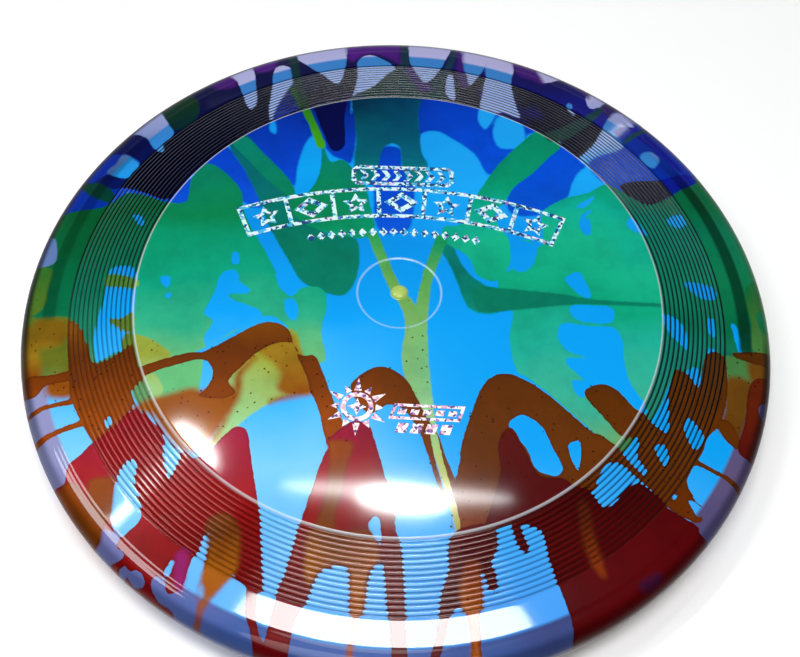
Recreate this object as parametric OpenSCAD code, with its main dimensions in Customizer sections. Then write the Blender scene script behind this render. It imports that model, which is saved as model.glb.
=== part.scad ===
// Flying disc: one injection-moulded translucent shell with hot-stamped foil figures on its flight plate.
// The disc stands on its rim, its axis along +Z, with the origin under the centre at the resting plane.

/* [Disc] */
// Outside diameter at the widest part of the rim
disc_d = 235; // [215:1:250]
// Overall height, from the resting ring to the top of the flight plate
disc_h = 27; // [25:0.5:30]
// Wall thickness of the flight plate
plate_t = 1.6; // [1.2:0.1:2.2]
// Wall thickness of the shoulder under the flight rings
shoulder_t = 1.7; // [1.4:0.1:2.2]
// Width of the flat ring that the rim rests on
rest_w = 1.4; // [1.2:0.1:2.4]

/* [Flight rings] */
// Number of ridges moulded into the shoulder
ridge_count = 13; // [6:1:15]
// Depth of the groove beside each ridge
groove_depth = 0.32; // [0.15:0.01:0.45]
// Step down from the flight plate to the first groove
plate_step = 0.45; // [0.3:0.05:0.6]

/* [Gate] */
// Radius of the round dish left by the gate insert of the mould
dish_r = 13; // [9:0.5:16]
// Depth of that dish
dish_depth = 0.2; // [0.1:0.05:0.4]
// Radius of the gate nub in its middle
nub_r = 2.6; // [1.8:0.1:3.5]
// Height of the gate nub above the flight plate
nub_h = 0.9; // [0.5:0.1:1.4]

/* [Foil] */
// Thickness of the hot-stamped foil
foil_t = 0.08; // [0.05:0.01:0.15]
// Width of the lines in the foil figures
stroke = 1.4; // [1:0.1:1.8]
// Radius of the arch that the upper figures are set along
arch_r = 132; // [110:2:180]
// Number of cells in the arched banner
cell_count = 7; // [5:2:9]

/* [Hidden] */

// Radii of the zones of the shell, in proportion to the disc
rim_r = disc_d / 2;
plate_r = rim_r * 0.695;
ring_r = rim_r * 0.865;
crease_r = rim_r * 0.94;
foot_r = rim_r * 0.952;

// Heights of the same zones
rings_end_z = disc_h - 5.8;
crease_z = disc_h - 7.6;
widest_z = disc_h - 13.2;

edge_round = 0.6;      // radius of the round edge of the flight plate
foot_round = 0.9;      // radius of the rounded edges of the rim's foot
grip_r = foot_r - foot_round - rest_w - foot_round;  // inner face of the rim at the foot
grip_lean = 1.6;       // how far that face leans out half way up
curve_steps = 7;       // points along one curved stretch
ridge_steps = 5;       // points across one ridge

figure_turn = 1.2;     // how far the upper figures are turned about the centre, in degrees
banner_y = 35.2;       // middle height of the arched banner over the disc's centre
banner_h = 12.4;       // height of the banner
banner_half = 22.6;    // half its opening angle, in degrees
star_r = 4.4;          // outer radius of a star
star_waist = 0.5;      // inner radius of a star over its outer radius
dot_count = 17;        // small diamonds in the row under the banner
dot_drop = 12;         // distance from the banner's middle line to that row
dot_middle = -1.1;     // where the middle of that row is on the arch, in degrees
dot_half = 12.6;       // half the opening angle of that row, in degrees
plaque_pos = [0.2, 46.2];
plaque_size = [33.6, 8.2];
plaque_corner = 1.8;
chevron_count = 8;
chevron_w = 1.7;       // width of a chevron along the plaque
chevron_pitch = 3.6;
emblem_pos = [-10.7, -41];
emblem_ring_r = 4.1;   // mean radius of the ring in the emblem
ray_count = 12;
bar_pos = [-1.4, -44.5];
bar_size = [20.8, 5.2];
bar_slant = 1.6;       // how far the bars lean to the right over their height
block_pitch = 3.7;

$fn = 96;

// Points of an arc with centre (cx, cz), from angle a to angle b in degrees
function arc(cx, cz, r, a, b, steps = curve_steps) =
    [for (i = [0 : steps]) let (t = a + (b - a) * i / steps) [cx + r * cos(t), cz + r * sin(t)]];

// Points of a quadratic curve from p to q that leaves and arrives towards m
function bend(p, m, q, steps = curve_steps) =
    [for (i = [0 : steps]) let (t = i / steps) (1 - t) * (1 - t) * p + 2 * t * (1 - t) * m + t * t * q];

// Height of the shoulder's outer surface, taken over the tops of the ridges
first_top_z = disc_h - plate_step;
function shoulder_z(r) =
    let (t = (r - plate_r) / (ring_r - plate_r)) first_top_z - (first_top_z - rings_end_z) * t * (0.75 + 0.25 * t);

// One ridge between two grooves: low at both ends and rounded over the top
ridge_pitch = (ring_r - plate_r) / (ridge_count + 0.5);
ridges_from = plate_r + ridge_pitch / 2;
function ridge(i) =
    [for (k = [0 : ridge_steps - 1])
        let (t = k / ridge_steps, r = ridges_from + (i + t) * ridge_pitch)
            [r, shoulder_z(r) - groove_depth * (1 - sqrt(sin(180 * t)))]];

gate_top = concat(
    bend([0, disc_h + nub_h], [nub_r * 0.95, disc_h + nub_h], [nub_r, disc_h - dish_depth]),
    [[dish_r - dish_depth, disc_h - dish_depth], [dish_r, disc_h]]);

plate_edge = concat(
    arc(plate_r - edge_round, disc_h - edge_round, edge_round, 90, 12),
    [[plate_r + ridge_pitch * 0.18, shoulder_z(plate_r) - groove_depth]]);

flight_rings = [for (i = [0 : ridge_count - 1]) for (p = ridge(i)) p];

outer_wall = concat(
    [[ring_r, rings_end_z - groove_depth], [ring_r + 0.35, rings_end_z - 0.1]],
    bend([ring_r + 1.2, rings_end_z - 0.25], [(ring_r + crease_r) / 2, rings_end_z - 0.9],
         [crease_r, crease_z]),
    bend([crease_r + 0.3, crease_z - 0.2], [rim_r, widest_z + 4.2], [rim_r, widest_z]),
    bend([rim_r, widest_z - 0.8], [rim_r - 0.3, foot_round + 6], [foot_r, foot_round]));

foot = concat(
    arc(foot_r - foot_round, foot_round, foot_round, 0, -90),
    arc(grip_r + foot_round, foot_round, foot_round, -90, -180));

under_z = shoulder_z(ring_r) - shoulder_t;
grip_wall = concat(
    bend([grip_r, foot_round + 0.6], [grip_r + grip_lean, widest_z * 0.3], [grip_r + grip_lean, widest_z * 0.8]),
    bend([grip_r + grip_lean, widest_z * 0.9], [grip_r + grip_lean, under_z - 2.2], [ring_r + 0.5, under_z - 0.2],
         10));

underside = [[plate_r + 1, shoulder_z(plate_r + 1) - shoulder_t], [plate_r - 2, disc_h - plate_t],
             [0, disc_h - plate_t]];

// The moulded shell: gate dish, flight plate, flight rings, shoulder, rim and foot in one piece
module disc_body() {
    color([0.06, 0.5, 0.85, 0.85])
        rotate_extrude($fn = 180)
            polygon(concat(gate_top, plate_edge, flight_rings, outer_wall, foot, grip_wall, underside));
}

// Lays a flat figure on the flight plate as foil
module foil() {
    color([0.82, 0.88, 0.95])
        translate([0, 0, disc_h])
            linear_extrude(foil_t)
                children();
}

// A polygon star with its points at radius r
module star(r, points = 5, waist = star_waist) {
    polygon([for (i = [0 : 2 * points - 1])
        let (a = 90 + 180 * i / points, q = i % 2 == 0 ? r : r * waist) [q * cos(a), q * sin(a)]]);
}

// The outline of a star, one line wide
module star_outline(r) {
    difference() {
        star(r);
        star(r - stroke * 1.7);
    }
}

// A diamond with the given half width and half height
module diamond(w, h) {
    polygon([[w, 0], [0, h], [-w, 0], [0, -h]]);
}

// A band along the arch, between two radii, within half an opening angle of the middle
module arch_band(r_in, r_out, half) {
    reach = r_out * 1.1;
    intersection() {
        difference() {
            circle(r_out, $fn = 360);
            circle(r_in, $fn = 360);
        }
        polygon([[0, 0], [reach * sin(half), reach * cos(half)], [-reach * sin(half), reach * cos(half)]]);
    }
}

// Places children on the arch, a degrees from its middle and out from its middle line
module on_arch(a, out = 0) {
    rotate(figure_turn)
        translate([0, banner_y - arch_r])
            rotate(-a)
                translate([0, arch_r + out])
                    children();
}

// The opening angle of a short length along the arch
function degrees_of(length) = length / arch_r * 180 / PI;

// A rectangle with cut corners
module plaque(size, corner) {
    x = size[0] / 2;
    y = size[1] / 2;
    polygon([[x - corner, y], [x, y - corner], [x, corner - y], [x - corner, -y],
             [corner - x, -y], [-x, corner - y], [-x, y - corner], [corner - x, y]]);
}

// A bar that leans to the right by the same slope at every height
module bar(length, height) {
    lean = bar_slant * height / bar_size[1];
    polygon([[0, 0], [length, 0], [length + lean, height], [lean, height]]);
}

cell_step = 2 * (banner_half - degrees_of(stroke) / 2) / cell_count;
function cell_angle(i) = (i - (cell_count - 1) / 2) * cell_step;

// One outlined band along the arch, divided into cells
module foil_banner_frame() {
    foil() {
        rotate(figure_turn)
            translate([0, banner_y - arch_r])
                difference() {
                    arch_band(arch_r - banner_h / 2, arch_r + banner_h / 2, banner_half);
                    arch_band(arch_r - banner_h / 2 + stroke, arch_r + banner_h / 2 - stroke,
                              banner_half - degrees_of(stroke));
                }
        for (i = [0 : cell_count - 2])
            on_arch(cell_angle(i) + cell_step / 2)
                square([stroke, banner_h - stroke], center = true);
    }
}

module foil_banner_stars() {
    foil()
        for (i = [0 : 2 : cell_count - 1])
            on_arch(cell_angle(i), -0.3)
                star_outline(star_r);
}

module foil_banner_diamonds() {
    foil()
        for (i = [1 : 2 : cell_count - 1])
            on_arch(cell_angle(i))
                difference() {
                    diamond(5.6, 4.2);
                    diamond(2.6, 1.9);
                }
}

module foil_dot_row() {
    foil()
        for (i = [0 : dot_count - 1])
            on_arch(dot_middle + dot_half * (2 * i / (dot_count - 1) - 1), -dot_drop)
                diamond(1.35, 1.7);
}

module foil_plaque_frame() {
    foil()
        rotate(figure_turn)
            translate(plaque_pos)
                difference() {
                    plaque(plaque_size, plaque_corner);
                    plaque(plaque_size - 2 * [stroke, stroke], plaque_corner * 0.7);
                }
}

module foil_plaque_chevrons() {
    h = plaque_size[1] / 2 - stroke - 0.6;
    tip = h * 0.7;
    foil()
        rotate(figure_turn)
            translate(plaque_pos)
                for (i = [0 : chevron_count - 1])
                    translate([(i - (chevron_count - 1) / 2) * chevron_pitch - (chevron_w + tip) / 2, 0])
                        polygon([[0, h], [chevron_w, h], [chevron_w + tip, 0], [chevron_w, -h], [0, -h], [tip, 0]]);
}

module foil_sunburst_ring() {
    foil()
        translate(emblem_pos)
            difference() {
                circle(emblem_ring_r + stroke / 2);
                circle(emblem_ring_r - stroke / 2);
            }
}

module foil_sunburst_rays() {
    foil()
        translate(emblem_pos) {
            star(2.8, 4, 0.42);
            for (i = [0 : ray_count - 1])
                rotate(i * 360 / ray_count)
                    translate([emblem_ring_r + 1.3, 0])
                        polygon([[0, -1.1], [i % 2 == 0 ? 2.4 : 4.2, 0], [0, 1.1]]);
        }
}

module foil_bar_frame() {
    foil()
        translate(bar_pos)
            difference() {
                bar(bar_size[0], bar_size[1]);
                translate([1.2, 0.9])
                    bar(bar_size[0] - 1.9, bar_size[1] - 1.8);
            }
}

// Two rows of short bars: one inside the outlined bar and one below it
module foil_bar_blocks() {
    foil()
        translate(bar_pos) {
            for (i = [0 : 4])
                translate([2.4 + i * block_pitch, 1.7])
                    bar(2.4, 1.8);
            for (i = [0 : 3])
                translate([2 + i * block_pitch * 1.15, -4.4])
                    bar(3.1, 3.2);
        }
}

disc_body();
foil_banner_frame();
foil_banner_stars();
foil_banner_diamonds();
foil_dot_row();
foil_plaque_frame();
foil_plaque_chevrons();
foil_sunburst_ring();
foil_sunburst_rays();
foil_bar_frame();
foil_bar_blocks();
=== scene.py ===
"""A dyed flying disc: the moulded shell is rebuilt as one fine lathe, the foil keeps its CAD solids."""
import math

import bpy
import numpy as np
from mathutils import Matrix, Vector


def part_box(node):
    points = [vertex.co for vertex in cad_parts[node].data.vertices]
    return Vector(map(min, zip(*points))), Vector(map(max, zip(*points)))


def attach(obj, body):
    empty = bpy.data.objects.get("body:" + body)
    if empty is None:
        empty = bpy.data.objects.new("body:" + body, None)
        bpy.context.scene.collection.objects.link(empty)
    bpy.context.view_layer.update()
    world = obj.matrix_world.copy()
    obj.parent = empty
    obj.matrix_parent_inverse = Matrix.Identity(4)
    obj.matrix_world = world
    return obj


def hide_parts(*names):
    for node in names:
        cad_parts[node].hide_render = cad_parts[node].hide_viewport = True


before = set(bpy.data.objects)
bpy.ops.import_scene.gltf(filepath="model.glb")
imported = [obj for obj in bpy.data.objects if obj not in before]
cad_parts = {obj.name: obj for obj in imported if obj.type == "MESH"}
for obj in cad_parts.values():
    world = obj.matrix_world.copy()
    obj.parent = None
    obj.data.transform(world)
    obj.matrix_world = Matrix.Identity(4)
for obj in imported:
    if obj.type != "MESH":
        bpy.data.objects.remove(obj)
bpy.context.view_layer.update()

MM = 0.001

# ---------------------------------------------------------------- sizes, in millimetres, from the frame
shell_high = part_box("disc_body")[1]
RIM_R = shell_high.x / MM
DISC_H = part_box("foil_plaque_frame")[0].z / MM
NUB_TOP = shell_high.z / MM
PLATE_R = RIM_R * 0.695
RING_R = RIM_R * 0.865
CREASE_R = RIM_R * 0.94
FOOT_R = RIM_R * 0.952
PLATE_T = 1.6
SHOULDER_T = 1.7
REST_W = 1.4
FOOT_ROUND = 0.9
GRIP_R = FOOT_R - 2 * FOOT_ROUND - REST_W
GRIP_LEAN = 1.6
EDGE_ROUND = 0.6
PLATE_STEP = 0.45
RIDGES = 13
GROOVE_DEPTH = 0.32
PITCH = (RING_R - PLATE_R) / (RIDGES + 0.5)
RINGS_END_Z = DISC_H - 5.8
CREASE_Z = DISC_H - 7.6
WIDEST_Z = DISC_H - 13.2
DISH_R = 13.0
DISH_DEPTH = 0.2
NUB_R = 2.6
SEGMENTS = 576
FOOT_REACH = 150.0  # stands for the foot and the grip, past the end of the wall


# ---------------------------------------------------------------- profile of the shell
def arc(cx, cz, r, start, end, steps):
    """Points of an arc, with its angles in degrees."""
    t = np.radians(np.linspace(start, end, steps + 1))
    return np.column_stack([cx + r * np.cos(t), cz + r * np.sin(t)])


def bend(start, towards, end, steps):
    """Points of a quadratic curve."""
    t = np.linspace(0, 1, steps + 1)[:, None]
    p, m, q = (np.array(v, float) for v in (start, towards, end))
    return (1 - t) ** 2 * p + 2 * t * (1 - t) * m + t**2 * q


def line(start, end, steps):
    """Points of a straight run, with both ends."""
    return np.linspace(start, end, steps + 1)


def shoulder_z(r):
    """Height of the shoulder over the tops of its ridges."""
    t = (r - PLATE_R) / (RING_R - PLATE_R)
    top = DISC_H - PLATE_STEP
    return top - (top - RINGS_END_Z) * t * (0.75 + 0.25 * t)


def ridge(i):
    """One rounded ridge, from the bottom of one groove to just before the next."""
    t = np.array([0, 0.02, 0.07, 0.16, 0.3, 0.5, 0.7, 0.84, 0.93, 0.98])
    r = PLATE_R + PITCH * (0.5 + i + t)
    return np.column_stack([r, shoulder_z(r) - GROOVE_DEPTH * (1 - np.sqrt(np.sin(np.pi * t)))])


def top_profile():
    """From the middle of the nub over the plate, the rings and the rim down to the foot."""
    ring_mid = (RING_R + CREASE_R) / 2
    return np.vstack([
        bend((0, NUB_TOP), (NUB_R * 0.95, NUB_TOP), (NUB_R, DISC_H - DISH_DEPTH), 9),
        line((NUB_R + 0.3, DISC_H - DISH_DEPTH), (DISH_R - 0.5, DISC_H - DISH_DEPTH), 12),
        bend((DISH_R - 0.3, DISC_H - DISH_DEPTH), (DISH_R - 0.1, DISC_H), (DISH_R + 0.15, DISC_H), 4),
        line((DISH_R + 1, DISC_H), (PLATE_R - 1.2, DISC_H), 74),
        arc(PLATE_R - EDGE_ROUND, DISC_H - EDGE_ROUND, EDGE_ROUND, 90, 12, 6),
        [(PLATE_R + PITCH * 0.18, shoulder_z(PLATE_R) - GROOVE_DEPTH)],
        *[ridge(i) for i in range(RIDGES)],
        [(RING_R, RINGS_END_Z - GROOVE_DEPTH), (RING_R + 0.35, RINGS_END_Z - 0.1)],
        bend((RING_R + 1.2, RINGS_END_Z - 0.25), (ring_mid, RINGS_END_Z - 0.9), (CREASE_R, CREASE_Z), 10),
        bend((CREASE_R + 0.4, CREASE_Z - 0.18), (RIM_R, WIDEST_Z + 4.2), (RIM_R, WIDEST_Z), 14),
        bend((RIM_R, WIDEST_Z - 0.8), (RIM_R - 0.3, FOOT_ROUND + 6), (FOOT_R, FOOT_ROUND), 14),
    ])


def foot_profile():
    """Round the foot and up the inner face of the rim."""
    lean = GRIP_R + GRIP_LEAN
    under = shoulder_z(RING_R) - SHOULDER_T
    return np.vstack([
        arc(FOOT_R - FOOT_ROUND, FOOT_ROUND, FOOT_ROUND, -12, -90, 5),
        arc(GRIP_R + FOOT_ROUND, FOOT_ROUND, FOOT_ROUND, -90, -180, 5),
        bend((GRIP_R, FOOT_ROUND + 0.6), (lean, WIDEST_Z * 0.3), (lean, WIDEST_Z * 0.8), 8),
        bend((lean, WIDEST_Z * 0.9), (lean, under - 2.2), (RING_R + 0.5, under - 0.2), 12),
    ])


def under_profile():
    """From the shoulder's underside to the middle of the plate's underside."""
    r = np.linspace(RING_R, PLATE_R + 1, 12)
    shoulder = np.column_stack([r, shoulder_z(r) - SHOULDER_T])
    plate = line((PLATE_R - 2, DISC_H - PLATE_T), (0, DISC_H - PLATE_T), 30)
    return np.vstack([shoulder, plate])


# ---------------------------------------------------------------- the dye
# Outlines in millimetres from the middle of the disc. x runs to the right and y away from the front.
FAR = 6.0  # distances are kept within this of an outline's edge


def smooth(points, closed, steps=5):
    """A curve through given points, as a finer list of points."""
    p = np.array(points, float)
    ends = (p[-1:], p[:2]) if closed else (p[:1], p[-1:])
    p = np.vstack([ends[0], p, ends[1]])
    spans = len(p) - 3
    t = (np.arange(steps) / steps)[:, None]
    out = []
    for i in range(spans):
        a, b, c, d = p[i : i + 4]
        span = 2 * b + (c - a) * t + (2 * a - 5 * b + 4 * c - d) * t**2 + (3 * b - a - 3 * c + d) * t**3
        out.append(0.5 * span)
    if not closed:
        out.append(p[-2:-1])
    return np.vstack(out)


def near(points, xy, margin=FAR):
    """Which of the places xy are within a margin of the box round some points."""
    lo = points.min(0) - margin
    hi = points.max(0) + margin
    return np.flatnonzero(np.all((xy >= lo) & (xy <= hi), axis=1))


def inside(outline, xy):
    """How far inside a smoothed outline each place is; negative outside it."""
    p = smooth(outline, closed=True)
    q = np.roll(p, -1, axis=0)
    out = np.full(len(xy), -FAR)
    k = near(p, xy)
    v = xy[k]
    best = np.full(len(k), 1e9)
    crossings = np.zeros(len(k), bool)
    for a, b in zip(p, q, strict=True):
        ab = b - a
        t = np.clip((v - a) @ ab / max(ab @ ab, 1e-9), 0, 1)
        best = np.minimum(best, ((v - a - t[:, None] * ab) ** 2).sum(1))
        if a[1] != b[1]:
            spans = (v[:, 1] > a[1]) != (v[:, 1] > b[1])
            crossings ^= spans & (v[:, 0] < a[0] + (v[:, 1] - a[1]) * ab[0] / ab[1])
    out[k] = np.clip(np.where(crossings, 1, -1) * np.sqrt(best), -FAR, FAR)
    return out


def streak(route, xy):
    """How far inside a drip each place is. The route's points are (x, y, half width)."""
    p = smooth(route, closed=False, steps=4)
    out = np.full(len(xy), -FAR)
    k = near(p[:, :2], xy, FAR + p[:, 2].max())
    v = xy[k]
    best = np.full(len(k), -1e9)
    for a, b in zip(p[:-1], p[1:], strict=True):
        ab = b[:2] - a[:2]
        t = np.clip((v - a[:2]) @ ab / max(ab @ ab, 1e-9), 0, 1)
        gap = np.sqrt(((v - a[:2] - t[:, None] * ab) ** 2).sum(1))
        best = np.maximum(best, a[2] + (b[2] - a[2]) * t - gap)
    out[k] = np.clip(best, -FAR, FAR)
    return out


# Bare windows between the dyes at the back, on the rim and over the far rings.
WINDOWS = [
    # left side
    [(-95.5, 67), (-92, 72), (-87, 79), (-85.5, 77), (-82.5, 71), (-79.3, 65), (-81, 61.5), (-84, 63.7),
     (-81.2, 56), (-85, 57.5), (-88.5, 63), (-92, 65.5)],
    [(-99.5, 47.5), (-97, 52), (-95, 56), (-88.8, 50.5), (-90.5, 47), (-92, 44.2)],
    # between the drips at the back
    [(-70, 106), (-62, 108), (-56.5, 101), (-53, 85), (-52.3, 78), (-53.5, 74.8), (-55.5, 77), (-60.5, 91),
     (-65, 96)],
    [(-48, 99), (-43.5, 100), (-40, 93), (-42, 86), (-45, 75), (-46, 67), (-47.5, 72), (-48, 86)],
    [(-44, 112), (-38, 122), (-24, 122), (-23, 108), (-23.2, 96), (-24.8, 88.5), (-28, 91), (-31.5, 95.5),
     (-41, 105)],
    [(-19, 102), (-17, 106.5), (-13.5, 107.3), (-8, 103.5), (-5.3, 100), (-7, 96), (-17.5, 79),
     (-19.2, 72.5), (-19.6, 79), (-18.5, 92)],
    [(-1, 122), (15, 122), (13.5, 110), (9, 96), (6.2, 91.5), (4.3, 91.5), (2, 97), (0, 103), (-0.8, 110)],
    [(13, 96), (15, 98), (15.8, 90), (16, 82), (14, 82.5), (12.5, 86)],
    [(18.5, 120), (28.5, 120), (27.5, 107), (22.5, 93.5), (20.7, 91), (20, 97), (18.7, 104)],
    [(29, 118), (36, 116), (37, 104), (36, 96), (37.2, 82), (38.5, 76), (36, 75.2), (33, 77), (30.5, 76),
     (28, 70.5), (26, 68.5), (24, 72), (24.2, 78), (26.8, 98)],
    [(45, 104), (48, 110), (56, 106), (53, 101), (47, 98)],
    # right side
    [(56.5, 88.5), (57.5, 86.5), (56.8, 84.5), (58.5, 81.5), (57, 81.5), (55, 86)],
    [(58, 57), (61, 62.5), (64.5, 69), (70, 83), (73.5, 86.5), (79, 80.5), (74.5, 79), (71, 75), (74.5, 69),
     (69, 63.5), (63.5, 60), (60, 55.5)],
    [(79.5, 63.5), (81, 67), (84, 68), (86.5, 65), (84.5, 60.5), (82, 60.5)],
    [(63.5, 97), (68, 104), (80, 94), (84, 86), (80, 82), (75, 85.5), (71, 89), (67, 88), (64, 86.5),
     (62.5, 90)],
]

# A gap at the foot of the pillar under the emblem, in two dyes.
PILLAR_GAP = [(-4.6, -76), (-3.3, -75.4), (-2.2, -77), (-1.8, -83.3), (-5.2, -79)]

# Each dye is laid over the ones before it. Its areas and streaks add dye, and its gaps leave it out.
AREAS, STREAKS, GAPS = {}, {}, {}

AREAS["royal"] = [
    # upper left, between the green drips
    [(-60, 58), (-52, 66), (-30, 78), (-18, 81), (-17, 72), (-17, 60), (-18, 51), (-21, 52), (-25, 54),
     (-31, 62), (-34, 57), (-35.5, 48), (-36, 40), (-41, 44), (-48, 52)],
    # upper right, over the pale oval
    [(3, 81), (3.5, 70), (3.3, 61), (5, 65), (9, 66.5), (13, 65), (21, 59), (24, 55), (27, 49), (31, 50),
     (36, 58), (41, 67), (46, 69), (38, 74), (24, 80)],
    # right of the green drip
    [(34, 41), (40, 50), (45, 57), (50, 63), (56, 60), (60, 55), (57, 51), (54.5, 45), (53.5, 41), (50, 38),
     (44, 33), (38, 32), (34, 34)],
    # stripe along the left field
    [(-73, 43), (-67, 50), (-60, 55.5), (-54, 48), (-48, 40), (-44, 33), (-48, 30), (-56, 36), (-64, 42)],
    # between the teal legs
    [(-9, 58), (-2, 58), (-1, 50), (3, 44), (3, 28), (0, 23), (-6, 22.5), (-9, 28), (-10, 40), (-11, 50)],
    # left end of the rings and the rim beside them
    [(-88, 28), (-76, 29), (-69, 31.5), (-69, 39), (-72, 44), (-80, 50), (-90, 48)],
    [(-126, 31), (-108, 28.5), (-98, 28.5), (-92, 36), (-86, 48), (-84, 58), (-92, 68), (-104, 76),
     (-120, 60)],
    [(-41, 92), (-46.5, 68), (-40, 72), (-35, 76), (-37, 84)],
    # right end of the rings and the rim beside them
    [(66, 47), (61, 54.5), (64, 60), (72, 66), (72, 74), (68, 80), (72, 90), (84, 94), (102, 78), (108, 62),
     (96, 56), (92, 46), (78, 41)],
]
GAPS["royal"] = [
    [(30, 73), (33, 75.5), (37, 74), (39.3, 70), (39.5, 62), (35, 60.3), (30.7, 61), (29, 67)],
    [(-46.3, 66), (-44.7, 67.5), (-44, 62), (-46, 63)],
    *WINDOWS,
]

AREAS["teal"] = [
    # lobe that hangs from the rim behind the banner
    [(-18, 83), (-18, 70), (-17, 61), (-17, 50), (-15, 43), (-11, 43), (-9, 50), (-8, 57), (-5, 60),
     (-2, 58), (-1, 50), (2, 43), (6, 44), (7.5, 51), (5, 58), (3.5, 74), (3, 83)],
    # wedge that points to the middle
    [(-59, 56), (-54, 61), (-48, 53), (-40, 44), (-31, 30), (-25, 22), (-15, 20), (-13, 12), (-14, 3),
     (-17, -2), (-23, -1.5), (-30, 2), (-34, 8), (-43, 24), (-47, 34), (-53, 46)],
    # forked streak to the right
    [(13, 22), (16, 20), (19, 12), (24, 6), (32, 3), (60, 0.8), (80, 1), (80, -0.6), (60, -0.8), (45, -2.5),
     (34, -4), (28, -6.5), (22, -5), (19, 1), (16, 10), (12, 18)],
]

AREAS["green"] = [
    # left field
    [(-112, 30), (-98, 32), (-91, 37), (-84, 35), (-76, 31), (-70, 31.5), (-69.5, 41), (-65.5, 47.5),
     (-60, 45), (-53, 37), (-50.5, 27), (-40, 8), (-36, -1), (-33, -3.5), (-30, 0), (-24, 0), (-22, -6),
     (-23, -16), (-21, -26), (-28, -25), (-34, -14), (-41, -11), (-50, -18), (-58, -24), (-68, -28),
     (-80, -26), (-90, -30), (-101, -15), (-118, -14), (-130, 0), (-124, 20)],
    # bright side of the wedge
    [(-58, 57), (-54, 60), (-47, 53), (-39, 44), (-35.5, 37.5), (-38, 36), (-45, 42), (-52, 50)],
    # below the upper left pale oval
    [(-28, 58), (-25, 51), (-21, 52), (-17, 48), (-13, 42), (-11, 34), (-9, 24), (-13, 20), (-25, 22),
     (-33, 26), (-37, 33), (-31, 38), (-28, 46)],
    # drip from the upper right rim
    [(44, 68.5), (47, 67.5), (52, 63), (47, 56.5), (42, 50), (36, 44), (33, 38), (30, 33), (31, 27),
     (34, 22), (34, 12), (30, 6), (24, 8), (21, 15), (14, 20), (13, 26), (19, 28), (22, 36), (30, 52),
     (40, 65)],
    # right field
    [(45, 34), (52, 40), (60, 43), (66, 47), (72, 45), (82, 44), (92, 52), (100, 60), (118, 52), (130, 4),
     (126, -8), (112, -11), (104, -14), (100, -15), (96, -12), (93, -20), (90, -27), (84, -24), (78, -36),
     (72, -44), (66, -51), (60, -47.5), (47, -35), (40, -29), (36, -26), (34, -15), (35, -5), (31, 1),
     (31, 8), (36, 12), (36, 20), (40, 23), (44, 20), (45, 26)],
    # between the brown band and the gap below it
    [(-76, -32), (-70, -30), (-62, -27), (-57.5, -27), (-57.5, -40), (-61, -41), (-66, -43), (-70, -45),
     (-75, -42)],
]
STREAKS["green"] = [
    [(-54, -4, 1), (-48, -5, 1.2), (-42, -4, 1.2)],
]
GAPS["green"] = [
    [(-55.5, 3.5), (-52, 5.5), (-50, 3.5), (-49.5, 1), (-46, -1.5), (-47, -3.2), (-52, -3.6), (-51, -5.6),
     (-42.5, -9), (-42, -12.5), (-48, -16), (-54, -21), (-56, -24), (-58, -20), (-56, -14), (-59, -11),
     (-57, -4)],
    [(-38.5, 5), (-33, 5), (-31, 0), (-33, -2.3), (-36.5, -1)],
    [(-35, -5), (-32, -4.5), (-30.5, -9), (-31.5, -12.5), (-34, -10)],
    [(-53, 12), (-51, 12), (-50.5, 8), (-52.5, 8)],
    [(-74, 1.5), (-71, 1.5), (-71, -2.5), (-73, -1.5)],
    [(-71.5, -4.5), (-69.8, -4.5), (-70.3, -6.8), (-71.5, -6)],
    [(56, 37), (57, 38), (61, 41.3), (62, 41), (60, 38), (57.5, 36.3)],
    [(57, 33), (60.5, 36), (61, 35.3), (58.5, 33)],
    [(57, 28), (57, 32), (60, 32), (60.5, 27), (59, 25.5)],
    [(72, 31), (74, 34), (77, 31), (78.5, 27), (74, 28.5)],
    [(36, 22), (42, 21), (43, 18), (41, 12), (38, 10), (35.5, 11), (35.5, 16)],
    [(51.5, 7.5), (54, 10.5), (56.5, 10.5), (58, 7), (59.5, 2), (57, 1.5)],
    [(53.3, -1.7), (60, -1.3), (65.5, -1.8), (66.3, -5), (64, -7.8), (56, -7.4), (53, -5)],
    [(50.5, -8.5), (58, -9), (66, -9.3), (68.2, -14), (68.5, -22), (70, -29), (74.5, -37), (72.5, -38.3),
     (68, -34.5), (63, -29.8), (57, -31), (55.5, -34.5), (53, -32), (52.5, -28.5), (56, -28.3),
     (51.5, -23.5), (51.2, -20.8), (57, -20.5), (51, -18), (48.6, -13)],
    # bare patches in the rings
    [(-91, 4), (-88, 6), (-82, 4), (-80.5, -6), (-80, -16), (-79, -24), (-84, -26), (-90, -28), (-92, -18),
     (-91, -6)],
    [(-87, 27), (-84, 26), (-82, 22), (-84.5, 22.5)],
    [(83, 45), (86, 49), (90, 50), (87, 46), (84, 44)],
    [(86, 36), (91, 40), (93, 36), (89, 33)],
    [(90, 11), (99, 11.5), (100, 7), (95.5, 5.5), (91, 8)],
    [(81, -3), (86, -4), (88.5, -8), (89, -14.5), (86, -13), (82.5, -9)],
    [(96, -1.5), (98.6, -1.5), (98.6, -7.5), (96, -7)],
    [(87, -22.5), (91, -20), (92, -24), (91, -27.5), (89, -25)],
    # pale patch on the left rim and the shoulder's far right
    [(-116, 20), (-112, 20), (-110, 14), (-110, 10), (-116, 9)],
    [(104, -2), (106, -3), (106.5, -12), (105.5, -12)],
]

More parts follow.
